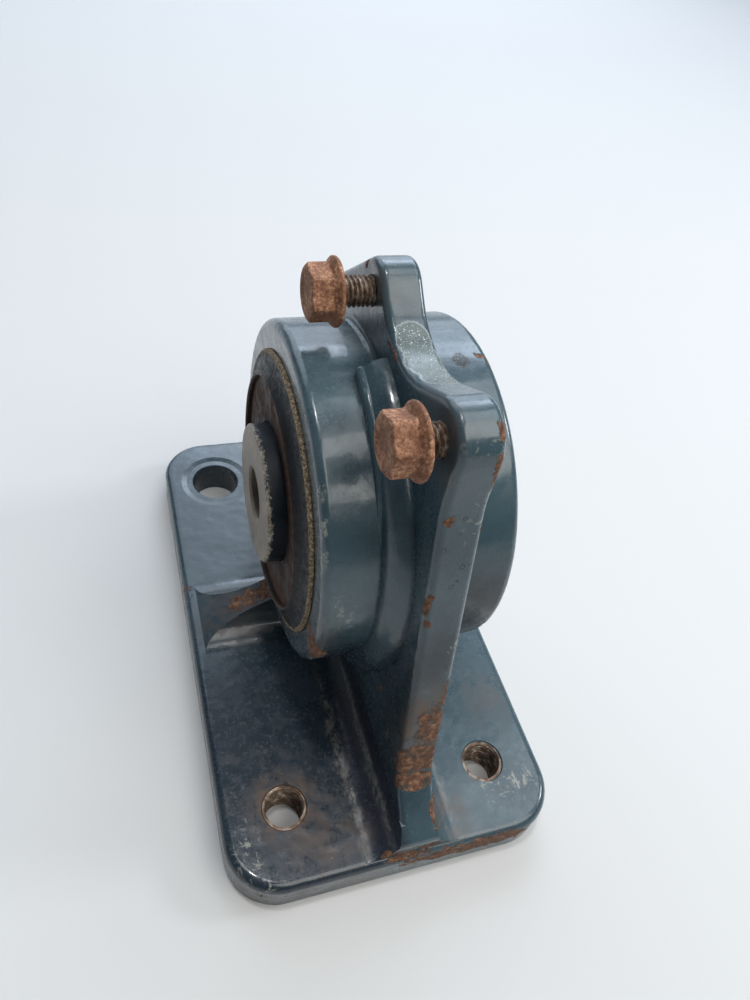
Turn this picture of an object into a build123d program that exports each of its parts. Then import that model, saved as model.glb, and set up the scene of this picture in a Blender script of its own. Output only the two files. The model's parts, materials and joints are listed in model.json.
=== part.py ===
from build123d import *
from math import cos, radians, sin, sqrt, tan
import os

os.makedirs("parts", exist_ok=True)

# A bearing bracket: one casting with a base plate, an upright web with two bolt lugs and a barrel,
# and in the barrel two ball bearings that carry a bored sleeve.
# Millimetres. X runs along the barrel, Y along the plate, Z up from the middle of the plate's underside.

# Base plate
plate_width = 127.0
plate_length = 220.5
plate_thickness = 16.5
plate_corner_radius = 20.0
plate_top_radius = 3.5
plate_bottom_radius = 1.0

# Holes in the plate. The front pair is tapped M16, and its bore is the thread's major diameter.
# The rear pair is plain, in a shallow dished spot face.
base_hole_spacing_x = 80.0
base_hole_spacing_y = 165.0
base_hole_chamfer = 0.5
front_hole_diameter = 16.0
rear_hole_diameter = 21.5
spot_face_diameter = 33.0
spot_face_depth = 0.5
spot_face_slope_width = 2.5

# Barrel
barrel_wall = 12.0  # outside the bearing
barrel_length = 65.4
barrel_x = 3.3
barrel_y = 3.3
barrel_z = 93.7
barrel_end_radius = 3.0
barrel_mouth_chamfer = 1.6

# Web, its two lugs and its edges
web_thickness = 13.6
web_x = 3.5
web_edge_radius = 2.4
front_bolt_y = -52.4
front_bolt_z = 170.0
front_lug_radius = 11.6
rear_bolt_y = 12.8
rear_bolt_z = 171.9
rear_lug_radius = 10.5
front_valley_slope = 30.0  # degrees below the horizontal, from the front lug into the valley
rear_valley_slope = 40.0
rear_lug_slope = 40.0
valley_radius = 31.0
neck_radius = 40.0
shoulder_radius = 35.0
web_side_slope = 13.3  # degrees from the vertical, both ends of the web
web_foot_half_length = 91.0  # half the web's length at the height where the toes start
toe_start_height = 23.5  # above the plate
toe_slope = 43.0
toe_radius = 14.0
toe_nose_height = 5.0
toe_nose_radius = 3.0
toe_inset = 2.0  # from the plate's end

# Fillets and the raised land between web and barrel
web_root_radius_left = 12.5
web_root_radius_right = 10.0
barrel_root_radius = 2.0
land_root_radius = 8.0
land_width = 9.0
land_height = 4.4
land_top_angle = 80.0  # degrees up from the front
land_fade_angle = 25.0
land_fade_run = 8.0  # degrees it carries on inside the barrel past its fade
land_foot_angle = -90.0  # inside the rib
land_edge_radius = 1.8

# Ribs under the barrel
rib_thickness = 11.0
rib_root_radius = 12.0
rib_edge_margin = 5.0  # from the plate's sides
rib_depth_in_barrel = 4.0

# Flange bolts, M10
bolt_diameter = 10.0
bolt_length = 20.0
bolt_clearance = 0.05  # radial, thread crest to lug hole
bolt_tip_chamfer = 1.0
flange_diameter = 21.8
flange_rim = 1.8
flange_rim_fall = 0.4  # the rim is widest at half its height
flange_rim_undercut = 0.6
flange_height = 3.6
head_across_flats = 16.0
head_height = 10.0
head_face_share = 0.95  # the round face's diameter, of the width across flats
head_chamfer_angle = 30.0
head_overlap = 0.01  # past the hexagon's corners, where it is turned
front_bolt_gap = 6.0  # open gap under the flange
rear_bolt_gap = 11.2

# Ball bearings: 55 x 100 bore and rim, outer ring 21 wide and standing proud of the barrel
bearing_diameter = 100.0
bearing_bore = 55.0
outer_ring_width = 21.0
outer_ring_proud = 4.6
outer_land_height = 3.55  # from the ball centres' circle out to the outer ring's land
inner_land_depth = 4.05  # and in to the inner ring's
inner_ring_width = 16.2
ball_diameter = 14.288
ball_count = 10
ball_clearance = 0.06
groove_share = 0.52  # the grooves' radius, of the ball's diameter
race_inset = 11.5  # ball centres, from the outer ring's outboard face
outer_face_drop = 3.2  # how far the crowned face falls to its rim
ring_edge = 0.8
ring_edge_bow = 0.3  # how near its corner the rounded inner edge passes, in ring edges
shoulder_height = 4.0  # of the land in the barrel that both outer rings seat on

# Cage: two pressed ribbons and rivets
cage_thickness = 0.9
cage_inside = 2.35  # radially in and out from the ball centres' circle
cage_outside = 2.25
first_ball_angle = 9.0
pocket_clearance = 0.12
rivet_diameter = 2.0
rivet_head_diameter = 3.6
rivet_head_height = 0.7
rivet_head_taper = 20.0
rivet_clearance = 0.05

# Shields
shield_thickness = 1.0
shield_groove_depth = 0.9
outboard_shield_gap = 0.4  # to the inner ring's end, and round the sleeve
inboard_shield_thickness = 0.8
inboard_shield_gap = 0.3
inboard_shield_inset = 0.2  # from the outer ring's inner face

# Sleeve and spacer
sleeve_step = 2.1  # from the seat down to the nose
sleeve_length = 83.8
sleeve_bore = 19.0
sleeve_chamfer = 0.8
spacer_wall = 3.5

# Sealing bead in the seam round each outer ring
bead_height = 1.7
bead_width = 3.0
bead_lift = 0.02  # clear of the ring's rim
bead_crest = 0.3  # places of its crest and shoulder, out from the barrel's end
bead_shoulder = 1.1
bead_shoulder_share = 0.8  # of its height
bead_foot = 0.2  # from the bottom of the mouth's chamfer

# How far a hidden part of a profile runs into its neighbour, or a cutter runs past a face
overlap = 1.0
barrel_blank_depth = 10.0  # the barrel's wall before it is bored, inside the bearing's radius
land_blank_depth = 6.0
land_root_depth = 3.0
barrel_root_depth = 2.0

# Derived places
bearing_radius = bearing_diameter / 2
seat_radius = bearing_bore / 2
barrel_radius = bearing_radius + barrel_wall
web_left = web_x - web_thickness / 2
web_right = web_x + web_thickness / 2
plate_front = -plate_length / 2
spin_axis = Axis((barrel_x, barrel_y, barrel_z), (1, 0, 0))
axial_plane = Plane((barrel_x, barrel_y, barrel_z), x_dir=(1, 0, 0), z_dir=(0, -1, 0))
ball_radius = ball_diameter / 2
first_rivet_angle = first_ball_angle + 180 / ball_count
groove_radius = groove_share * ball_diameter
pitch_radius = (bearing_radius + seat_radius) / 2
outer_land = pitch_radius + outer_land_height
inner_land = pitch_radius - inner_land_depth
ring_out = barrel_length / 2 + outer_ring_proud  # distances from the barrel's middle
ring_in = ring_out - outer_ring_width
race = ring_out - race_inset
inner_out = race + inner_ring_width / 2
inner_in = race - inner_ring_width / 2
shield_in = inner_out + outboard_shield_gap
shield_out = shield_in + shield_thickness
nose_radius = seat_radius - sleeve_step


def meet(first, second):
    """The point where two lines cross, each given as a point and an angle in degrees."""
    (y1, z1), a1 = first
    (y2, z2), a2 = second
    c1, s1, c2, s2 = cos(radians(a1)), sin(radians(a1)), cos(radians(a2)), sin(radians(a2))
    t = ((y2 - y1) * s2 - (z2 - z1) * c2) / (c1 * s2 - s1 * c2)
    return (y1 + t * c1, z1 + t * s1)


def tangent(centre, radius, normal):
    """The line that touches a circle where its outward normal points at the given angle."""
    y = centre[0] + radius * cos(radians(normal))
    z = centre[1] + radius * sin(radians(normal))
    return ((y, z), normal - 90)


def pitch_points(count, turn=0.0):
    """Evenly spaced places on the ball pitch circle, seen along the barrel."""
    step = 360 / count
    angles = [radians(turn + step * i) for i in range(count)]
    return [(pitch_radius * cos(a), pitch_radius * sin(a)) for a in angles]


# Web outline: straight edges that meet in rounded corners, from the front toe over the lugs to the rear
front_lug = (front_bolt_y, front_bolt_z)
rear_lug = (rear_bolt_y, rear_bolt_z)
foot_z = plate_thickness / 2
toe_z = plate_thickness + toe_start_height
nose_y = plate_front + toe_inset
nose_z = plate_thickness + toe_nose_height
front_nose = ((nose_y, nose_z), 90)
front_toe = ((-web_foot_half_length, toe_z), toe_slope)
front_side = ((-web_foot_half_length, toe_z), 90 - web_side_slope)
front_upright = tangent(front_lug, front_lug_radius, 180)
front_flank = tangent(front_lug, front_lug_radius, 90 - front_valley_slope)
rear_flank = tangent(rear_lug, rear_lug_radius, 90 + rear_valley_slope)
rear_slope = tangent(rear_lug, rear_lug_radius, 90 - rear_lug_slope)
rear_side = ((web_foot_half_length, toe_z), 90 + web_side_slope)
rear_toe = ((web_foot_half_length, toe_z), -toe_slope)
rear_nose = ((-nose_y, nose_z), 90)
web_corners = [
    (meet(front_nose, front_toe), toe_nose_radius),
    (meet(front_toe, front_side), toe_radius),
    (meet(front_side, front_upright), neck_radius),
    (meet(front_upright, front_flank), front_lug_radius),
    (meet(front_flank, rear_flank), valley_radius),
    (meet(rear_flank, rear_slope), rear_lug_radius),
    (meet(rear_slope, rear_side), shoulder_radius),
    (meet(rear_side, rear_toe), toe_radius),
    (meet(rear_toe, rear_nose), toe_nose_radius),
]


def web_outline(x):
    """The web's outline, drawn on the plane at x."""
    with BuildSketch(Plane.YZ.offset(x)) as sketch:
        with BuildLine():
            outline = FilletPolyline(
                (nose_y, foot_z),
                *[corner for corner, _ in web_corners],
                (-nose_y, foot_z),
                radius=[radius for _, radius in web_corners],
            )
            Line(outline @ 1, outline @ 0)
        make_face()
    return sketch.sketch


with BuildPart() as web:
    extrude(web_outline(web_left), amount=web_thickness)
    upper_edges = web.edges().filter_by(lambda e: e.center().Z > plate_thickness + overlap)
    fillet(upper_edges.filter_by(lambda e: abs(e.tangent_at(0.5).X) < 0.1), web_edge_radius)

# Hollow roots between web and plate, trimmed to the web's outline at the toes
with BuildPart() as web_roots:
    for face_x, root, side in (
        (web_left, web_root_radius_left, -1),
        (web_right, web_root_radius_right, 1),
    ):
        with BuildSketch(Plane.XZ.offset(nose_y)):
            with BuildLine():
                foot = (face_x + side * root, plate_thickness)
                knee = (face_x, plate_thickness + root)
                RadiusArc(foot, knee, side * root)
                Polyline(knee, (web_x, knee[1]), (web_x, foot_z), (foot[0], foot_z), foot)
            make_face()
        extrude(amount=-2 * nose_y)
    roots_width = web_root_radius_left + web_thickness + web_root_radius_right
    extrude(web_outline(web_left - web_root_radius_left), amount=roots_width, mode=Mode.INTERSECT)

with BuildPart() as barrel:
    with BuildSketch(axial_plane):
        with BuildLine():
            half = barrel_length / 2
            outline = FilletPolyline(
                (-half, bearing_radius - barrel_blank_depth),
                (-half, barrel_radius),
                (half, barrel_radius),
                (half, bearing_radius - barrel_blank_depth),
                radius=barrel_end_radius,
            )
            Line(outline @ 1, outline @ 0)
        make_face()
    revolve(axis=spin_axis)

# Raised land on the barrel's front, left of the web. It is turned about an axis above the barrel's own,
# so that it stands highest near its top end and dies into the barrel lower down.
land_rise = land_height / (sin(radians(land_top_angle)) - sin(radians(land_fade_angle)))
land_centre_z = barrel_z + land_rise
land_turn_radius = barrel_radius - land_rise * sin(radians(land_fade_angle))
land_axis = Axis((barrel_x, barrel_y, land_centre_z), (1, 0, 0))


def around_front(angle, centre_z):
    """A half-plane through an axis along the barrel, turned up from the front by an angle."""
    a = radians(angle)
    return Plane((web_left, barrel_y, centre_z), x_dir=(1, 0, 0), z_dir=(0, -sin(a), -cos(a)))


with BuildPart() as land:
    with BuildSketch(around_front(land_top_angle, land_centre_z)):
        with BuildLine():
            outline = FilletPolyline(
                (-land_width, land_turn_radius - land_blank_depth),
                (-land_width, land_turn_radius),
                (overlap, land_turn_radius),
                radius=land_edge_radius,
            )
            Polyline(outline @ 1, (overlap, land_turn_radius - land_blank_depth), outline @ 0)
        make_face()
    revolve(axis=land_axis, revolution_arc=land_top_angle - land_fade_angle + land_fade_run)
    fillet(land.edges().group_by(Axis.Z)[-1], land_edge_radius)

with BuildPart() as land_root:
    with BuildSketch(around_front(land_top_angle, barrel_z)):
        with BuildLine():
            r = land_root_radius
            low = (-r, barrel_radius)
            high = (0, barrel_radius + r)
            inside = barrel_radius - land_root_depth
            RadiusArc(low, high, r)
            Polyline(high, (overlap, barrel_radius + r), (overlap, inside), (-r, inside), low)
        make_face()
    revolve(axis=spin_axis, revolution_arc=land_top_angle - land_foot_angle)

# Ribs under the barrel: an upright wall with wide roots, cut off along a slope to each side
rib_top = barrel_z - barrel_radius + rib_depth_in_barrel
rib_toe = plate_width / 2 - rib_edge_margin
barrel_left = barrel_x - barrel_length / 2
barrel_right = barrel_x + barrel_length / 2
barrel_bottom = barrel_z - barrel_radius
with BuildPart() as ribs:
    with BuildSketch(Plane.XZ.offset(-barrel_y)):
        with BuildLine():
            Polyline(
                (-rib_toe, plate_thickness),
                (barrel_left, barrel_bottom),
                (barrel_left + rib_depth_in_barrel, rib_top),
                (barrel_right - rib_depth_in_barrel, rib_top),
                (barrel_right, barrel_bottom),
                (rib_toe, plate_thickness),
                (rib_toe, foot_z),
                (-rib_toe, foot_z),
                close=True,
            )
        make_face()
    extrude(amount=rib_thickness / 2 + rib_root_radius, both=True)
    with BuildSketch(Plane.YZ.offset(-rib_toe)):
        with BuildLine():
            wall = rib_thickness / 2
            r = rib_root_radius
            for side in (-1, 1):
                foot = (barrel_y + side * (wall + r), plate_thickness)
                knee = (barrel_y + side * wall, plate_thickness + r)
                RadiusArc(foot, knee, side * r)
                Line(knee, (barrel_y + side * wall, rib_top + overlap))
                Line(foot, (barrel_y + side * (wall + r), foot_z))
            Line((barrel_y - wall, rib_top + overlap), (barrel_y + wall, rib_top + overlap))
            Line((barrel_y - wall - r, foot_z), (barrel_y + wall + r, foot_z))
        make_face()
    extrude(amount=2 * rib_toe, mode=Mode.INTERSECT)

with BuildPart() as bracket:
    with BuildSketch(Plane.XY):
        RectangleRounded(plate_width, plate_length, plate_corner_radius)
    extrude(amount=plate_thickness)
    fillet(bracket.edges().group_by(Axis.Z)[-1], plate_top_radius)
    fillet(bracket.edges().group_by(Axis.Z)[0], plate_bottom_radius)
    add(web.part)
    add(ribs.part)
    add(web_roots.part)
    add(barrel.part)
    add(land_root.part)
    add(land.part)
    # Small root where the barrel meets the web
    with BuildSketch(axial_plane):
        for face_x, side in ((web_left - barrel_x, -1), (web_right - barrel_x, 1)):
            with BuildLine():
                low = (face_x + side * barrel_root_radius, barrel_radius)
                high = (face_x, barrel_radius + barrel_root_radius)
                inside = barrel_radius - barrel_root_depth
                RadiusArc(low, high, side * barrel_root_radius)
                Polyline(
                    high,
                    (face_x - side * overlap, high[1]),
                    (face_x - side * overlap, inside),
                    (low[0], inside),
                    low,
                )
            make_face()
    revolve(axis=spin_axis)
    # Bore: a seat for each bearing, the shoulder between them, and chamfered mouths
    with BuildSketch(axial_plane):
        with BuildLine():
            mouth = bearing_radius + barrel_mouth_chamfer
            half = barrel_length / 2
            Polyline(
                (-half - overlap, 0),
                (-half - overlap, mouth),
                (-half, mouth),
                (-half + barrel_mouth_chamfer, bearing_radius),
                (-ring_in, bearing_radius),
                (-ring_in, bearing_radius - shoulder_height),
                (ring_in, bearing_radius - shoulder_height),
                (ring_in, bearing_radius),
                (half - barrel_mouth_chamfer, bearing_radius),
                (half, mouth),
                (half + overlap, mouth),
                (half + overlap, 0),
                close=True,
            )
        make_face()
    revolve(axis=spin_axis, mode=Mode.SUBTRACT)
    # Base holes
    hole_y = base_hole_spacing_y / 2
    with Locations((0, hole_y, plate_thickness - spot_face_depth / 2)):
        with GridLocations(base_hole_spacing_x, 1, 2, 1):
            Cone(
                bottom_radius=spot_face_diameter / 2 - spot_face_slope_width,
                top_radius=spot_face_diameter / 2,
                height=spot_face_depth,
                mode=Mode.SUBTRACT,
            )
    for middle_y, top_z, diameter in (
        (-hole_y, plate_thickness, front_hole_diameter),
        (hole_y, plate_thickness - spot_face_depth, rear_hole_diameter),
    ):
        with Locations((0, middle_y, top_z)):
            with GridLocations(base_hole_spacing_x, 1, 2, 1):
                CounterSinkHole(
                    radius=diameter / 2,
                    counter_sink_radius=diameter / 2 + base_hole_chamfer,
                    depth=plate_thickness,
                )
    # Lug holes for the bolts
    with BuildSketch(Plane.YZ.offset(web_left - overlap)):
        with Locations(front_lug, rear_lug):
            Circle(bolt_diameter / 2 + bolt_clearance)
    extrude(amount=web_thickness + 2 * overlap, mode=Mode.SUBTRACT)
bracket.part.label = "bracket"
export_step(bracket.part, "parts/bracket.step")

# Flange bolts, heads to the left
for bolt_name, lug, gap in (
    ("front_bolt", front_lug, front_bolt_gap),
    ("rear_bolt", rear_lug, rear_bolt_gap),
):
    seat_x = web_left - gap
    bolt_axis = Axis((seat_x, *lug), (1, 0, 0))
    bolt_plane = Plane((seat_x, *lug), x_dir=(1, 0, 0), z_dir=(0, -1, 0))
    with BuildPart() as bolt:
        with BuildSketch(Plane((seat_x, *lug), x_dir=(0, 1, 0), z_dir=(-1, 0, 0))):
            RegularPolygon(head_across_flats / 2, 6, major_radius=False)
        extrude(amount=head_height)
        # Turning the head's end leaves the hexagon's chamfered corners
        corner_radius = head_across_flats / sqrt(3) + head_overlap
        face_radius = head_across_flats / 2 * head_face_share
        drop = (corner_radius - face_radius) * tan(radians(head_chamfer_angle))
        with BuildSketch(bolt_plane):
            with BuildLine():
                Polyline(
                    (0, 0),
                    (-head_height, 0),
                    (-head_height, face_radius),
                    (drop - head_height, corner_radius),
                    (0, corner_radius),
                    close=True,
                )
            make_face()
        revolve(axis=bolt_axis, mode=Mode.INTERSECT)
        with BuildSketch(bolt_plane):
            with BuildLine():
                shank = bolt_diameter / 2
                flange = flange_diameter / 2
                Polyline(
                    (-flange_height, 0),
                    (-flange_height, head_across_flats / 2),
                    (-flange_rim, flange - flange_rim_fall),
                    (-flange_rim / 2, flange),
                    (0, flange - flange_rim_undercut),
                    (0, shank),
                    (bolt_length - bolt_tip_chamfer, shank),
                    (bolt_length, shank - bolt_tip_chamfer),
                    (bolt_length, 0),
                    close=True,
                )
            make_face()
        revolve(axis=bolt_axis)
    bolt.part.label = bolt_name
    export_step(bolt.part, f"parts/{bolt_name}.step")

# Sleeve through both bearings, larger between the noses where the inner rings sit
with BuildPart() as sleeve:
    with BuildSketch(axial_plane):
        with BuildLine():
            end = sleeve_length / 2
            c = sleeve_chamfer
            hole = sleeve_bore / 2
            Polyline(
                (-end, hole + c),
                (-end, nose_radius - c),
                (-end + c, nose_radius),
                (-inner_out, nose_radius),
                (-inner_out, seat_radius),
                (inner_out, seat_radius),
                (inner_out, nose_radius),
                (end - c, nose_radius),
                (end, nose_radius - c),
                (end, hole + c),
                (end - c, hole),
                (-end + c, hole),
                close=True,
            )
        make_face()
    revolve(axis=spin_axis)
sleeve.part.label = "sleeve"
export_step(sleeve.part, "parts/sleeve.step")

with BuildPart() as spacer:
    with BuildSketch(axial_plane):
        with Locations((0, seat_radius + spacer_wall / 2)):
            Rectangle(2 * inner_in, spacer_wall)
    revolve(axis=spin_axis)
spacer.part.label = "inner_spacer"
export_step(spacer.part, "parts/inner_spacer.step")

# Ball grooves: the bottom of each groove clears the ball by the running clearance
outer_groove = pitch_radius + ball_radius + ball_clearance
inner_groove = pitch_radius - ball_radius - ball_clearance
outer_groove_half = sqrt(groove_radius**2 - (outer_land - outer_groove + groove_radius) ** 2)
inner_groove_half = sqrt(groove_radius**2 - (inner_groove + groove_radius - inner_land) ** 2)
shield_seat = outer_land + shield_groove_depth
outboard_shield_bore = nose_radius + outboard_shield_gap
inboard_shield_bore = inner_land + inboard_shield_gap
dome_radius = ball_radius + pocket_clearance + cage_thickness
inboard_shield_out = ring_in + inboard_shield_inset + inboard_shield_thickness

for side, hand in ((-1, "left"), (1, "right")):
    with BuildPart() as outer_ring:
        with BuildSketch(axial_plane):
            with BuildLine():
                rim_a = ring_out - outer_face_drop
                crown_r = outer_land + ring_edge
                Polyline(
                    (side * (ring_out - ring_edge), outer_land),
                    (side * shield_out, outer_land),
                    (side * shield_out, shield_seat),
                    (side * shield_in, shield_seat),
                    (side * shield_in, outer_land),
                    (side * (race + outer_groove_half), outer_land),
                )
                ThreePointArc(
                    (side * (race + outer_groove_half), outer_land),
                    (side * race, outer_groove),
                    (side * (race - outer_groove_half), outer_land),
                )
                Polyline(
                    (side * (race - outer_groove_half), outer_land),
                    (side * inboard_shield_out, outer_land),
                    (side * inboard_shield_out, shield_seat),
                    (side * ring_in, shield_seat),
                    (side * ring_in, bearing_radius - ring_edge),
                    (side * (ring_in + ring_edge), bearing_radius),
                    (side * rim_a, bearing_radius),
                )
                # Crowned face, from the rim up to the inner edge
                TangentArc(
                    (side * ring_out, crown_r),
                    (side * rim_a, bearing_radius),
                    tangent=(0, -1),
                    tangent_from_first=False,
                )
                ThreePointArc(
                    (side * ring_out, crown_r),
                    (side * (ring_out - ring_edge_bow * ring_edge), outer_land + ring_edge_bow * ring_edge),
                    (side * (ring_out - ring_edge), outer_land),
                )
            make_face()
        revolve(axis=spin_axis)
    outer_ring.part.label = f"outer_ring_{hand}"
    export_step(outer_ring.part, f"parts/outer_ring_{hand}.step")

    with BuildPart() as inner_ring:
        with BuildSketch(axial_plane):
            with BuildLine():
                Polyline(
                    (side * (race + inner_groove_half), inner_land),
                    (side * (inner_out - ring_edge), inner_land),
                    (side * inner_out, inner_land - ring_edge),
                    (side * inner_out, seat_radius + ring_edge),
                    (side * (inner_out - ring_edge), seat_radius),
                    (side * (inner_in + ring_edge), seat_radius),
                    (side * inner_in, seat_radius + ring_edge),
                    (side * inner_in, inner_land - ring_edge),
                    (side * (inner_in + ring_edge), inner_land),
                    (side * (race - inner_groove_half), inner_land),
                )
                ThreePointArc(
                    (side * (race - inner_groove_half), inner_land),
                    (side * race, inner_groove),
                    (side * (race + inner_groove_half), inner_land),
                )
            make_face()
        revolve(axis=spin_axis)
    inner_ring.part.label = f"inner_ring_{hand}"
    export_step(inner_ring.part, f"parts/inner_ring_{hand}.step")

    # Outboard shield: a dished plate that covers the inner ring and runs close to the sleeve
    with BuildPart() as outboard_shield:
        with BuildSketch(axial_plane):
            middle_x = side * (shield_in + shield_out) / 2
            with Locations((middle_x, (outboard_shield_bore + shield_seat) / 2)):
                Rectangle(shield_thickness, shield_seat - outboard_shield_bore)
        revolve(axis=spin_axis)
    outboard_shield.part.label = f"outboard_shield_{hand}"
    export_step(outboard_shield.part, f"parts/outboard_shield_{hand}.step")

    with BuildPart() as inboard_shield:
        with BuildSketch(axial_plane):
            middle_x = side * (inboard_shield_out - inboard_shield_thickness / 2)
            with Locations((middle_x, (inboard_shield_bore + shield_seat) / 2)):
                Rectangle(inboard_shield_thickness, shield_seat - inboard_shield_bore)
        revolve(axis=spin_axis)
    inboard_shield.part.label = f"inboard_shield_{hand}"
    export_step(inboard_shield.part, f"parts/inboard_shield_{hand}.step")

    race_x = barrel_x + side * race
    race_plane = Plane((race_x, barrel_y, barrel_z), x_dir=(0, 1, 0), z_dir=(1, 0, 0))
    ball_turns = pitch_points(ball_count, first_ball_angle)
    ball_places = [(race_x, barrel_y + y, barrel_z + z) for y, z in ball_turns]

    # Cage halves: a flat ribbon between the balls that bulges round each ball
    for half_name, way in (("outboard", side), ("inboard", -side)):
        with BuildPart() as cage:
            with BuildSketch(race_plane):
                Circle(pitch_radius + cage_outside)
                Circle(pitch_radius - cage_inside, mode=Mode.SUBTRACT)
            extrude(amount=way * cage_thickness)
            with Locations(*ball_places):
                Sphere(dome_radius)
            with BuildSketch(race_plane):
                Circle(pitch_radius + cage_outside)
                Circle(pitch_radius - cage_inside, mode=Mode.SUBTRACT)
            extrude(amount=way * (dome_radius + overlap), mode=Mode.INTERSECT)
            with Locations(*ball_places):
                Sphere(ball_radius + pocket_clearance, mode=Mode.SUBTRACT)
            with BuildSketch(race_plane):
                with Locations(*pitch_points(ball_count, first_rivet_angle)):
                    Circle(rivet_diameter / 2 + rivet_clearance)
            extrude(amount=way * 2 * cage_thickness, mode=Mode.SUBTRACT)
        cage.part.label = f"cage_{half_name}_{hand}"
        export_step(cage.part, f"parts/cage_{half_name}_{hand}.step")

    with BuildPart() as rivets:
        with BuildSketch(race_plane):
            with Locations(*pitch_points(ball_count, first_rivet_angle)):
                Circle(rivet_diameter / 2)
        extrude(amount=cage_thickness, both=True)
        for way in (-1, 1):
            with BuildSketch(race_plane.offset(way * cage_thickness)):
                with Locations(*pitch_points(ball_count, first_rivet_angle)):
                    Circle(rivet_head_diameter / 2)
            extrude(amount=way * rivet_head_height, taper=rivet_head_taper)
    rivets.part.label = f"cage_rivets_{hand}"
    export_step(rivets.part, f"parts/cage_rivets_{hand}.step")

    for number, place in enumerate(ball_places, start=1):
        with BuildPart() as ball:
            with Locations(place):
                Sphere(ball_radius)
        ball.part.label = f"ball_{hand}_{number:02d}"
        export_step(ball.part, f"parts/ball_{hand}_{number:02d}.step")

    # Sealing bead, laid in the chamfered mouth against the outer ring
    with BuildPart() as bead:
        with BuildSketch(axial_plane):
            with BuildLine():
                inner_a = side * (barrel_length / 2 - barrel_mouth_chamfer + bead_foot)
                outer_a = side * (barrel_length / 2 + bead_width - barrel_mouth_chamfer)
                base_r = bearing_radius + bead_lift
                crest = (side * (barrel_length / 2 + bead_crest), bearing_radius + bead_height)
                Line((inner_a, base_r), crest)
                ThreePointArc(
                    crest,
                    (
                        side * (barrel_length / 2 + bead_shoulder),
                        bearing_radius + bead_shoulder_share * bead_height,
                    ),
                    (outer_a, base_r),
                )
                Line((outer_a, base_r), (inner_a, base_r))
            make_face()
        revolve(axis=spin_axis)
    bead.part.label = f"seam_bead_{hand}"
    export_step(bead.part, f"parts/seam_bead_{hand}.step")
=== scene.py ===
import json
import math
import bpy
import bmesh
from mathutils import Matrix, Vector


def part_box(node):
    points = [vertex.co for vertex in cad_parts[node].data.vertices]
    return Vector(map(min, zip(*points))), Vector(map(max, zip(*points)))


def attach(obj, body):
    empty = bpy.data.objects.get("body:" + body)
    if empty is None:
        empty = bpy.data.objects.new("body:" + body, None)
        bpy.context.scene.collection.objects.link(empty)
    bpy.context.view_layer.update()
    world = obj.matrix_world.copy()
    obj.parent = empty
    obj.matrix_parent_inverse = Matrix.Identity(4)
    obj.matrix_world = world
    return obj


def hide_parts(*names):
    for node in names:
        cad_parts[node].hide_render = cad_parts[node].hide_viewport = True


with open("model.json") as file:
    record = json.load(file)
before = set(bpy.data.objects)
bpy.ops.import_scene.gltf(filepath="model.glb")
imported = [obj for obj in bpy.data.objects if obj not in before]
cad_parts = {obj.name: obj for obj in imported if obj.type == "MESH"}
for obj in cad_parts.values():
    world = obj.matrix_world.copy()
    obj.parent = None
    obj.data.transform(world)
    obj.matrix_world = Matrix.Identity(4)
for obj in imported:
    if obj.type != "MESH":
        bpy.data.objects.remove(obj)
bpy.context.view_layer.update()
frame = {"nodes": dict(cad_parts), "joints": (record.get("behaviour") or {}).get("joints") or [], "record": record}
print("frame loaded:", len(frame["nodes"]), "nodes")

mm = 0.001


# Helpers

def toLinear(hexColour):  # sRGB hex to the linear values that shaders take
    values = [int(hexColour[i:i + 2], 16) / 255 for i in (1, 3, 5)]
    return [v / 12.92 if v <= 0.04045 else ((v + 0.055) / 1.055) ** 2.4 for v in values] + [1.0]


def nodeAdder(tree):  # gives the one function that adds nodes to this tree
    def add(kind, inputs=(), stops=(), **settings):
        # Inputs go by name or in order. Sockets are linked; numbers, vectors and hex colours are set.
        # Stops are a colour ramp's (place, hex). What comes back is the node's first output.
        node = tree.nodes.new(kind if "Node" in kind else "ShaderNode" + kind)
        for name, value in settings.items():
            setattr(node, name, value)
        used = [socket for socket in node.inputs if socket.enabled]
        if not isinstance(inputs, dict):
            inputs = dict(enumerate(inputs))
        for name, value in inputs.items():
            socket = used[name] if isinstance(name, int) else node.inputs[name]
            if isinstance(value, bpy.types.NodeSocket):
                tree.links.new(value, socket)
            elif value is not None:
                socket.default_value = toLinear(value) if isinstance(value, str) else value
        for index, (place, colour) in enumerate(stops):
            elements = node.color_ramp.elements
            element = elements[index] if index < 2 else elements.new(1.0)
            element.position = place
            element.color = toLinear(colour)
        return next((socket for socket in node.outputs if socket.enabled), None)
    return add


smooth = {"interpolation_type": "SMOOTHSTEP"}
colours = {"data_type": "RGBA"}


def perMetre(size):  # noise scale that gives features of this size in mm
    return 1000 / size


def newMaterial(name):
    material = bpy.data.materials.new(name)
    material.use_nodes = True
    material.node_tree.nodes.clear()
    add = nodeAdder(material.node_tree)
    return material, add, add("TexCoord").node.outputs["Object"]


def wobble(add, coords, steps):  # pushes the coordinates about, so that patch edges turn ragged
    for size, amount in steps:
        colour = add("TexNoise", [coords, perMetre(size), 2.0]).node.outputs["Color"]
        centred = add("VectorMath", [colour, (0.5, 0.5, 0.5)], operation="SUBTRACT")
        scaled = add("VectorMath", [centred, 2 * amount * mm], operation="SCALE")
        coords = add("VectorMath", [coords, scaled], operation="ADD")
    return coords


def patchMask(add, coords, patches, soft=0.35):  # highest of several ellipsoids: place, half sizes, strength
    total = None
    for place, sizes, strength in patches:
        moved = add("VectorMath", [coords, [c * mm for c in place]], operation="SUBTRACT")
        scaled = add("VectorMath", [moved, [1 / (s * mm) for s in sizes]], operation="MULTIPLY")
        length = add("VectorMath", [scaled], operation="LENGTH")
        mask = add("MapRange", [length, 1 - soft, 1 + soft, strength, 0.0], **smooth)
        total = mask if total is None else add("Math", [total, mask], operation="MAXIMUM")
    return total


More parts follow.
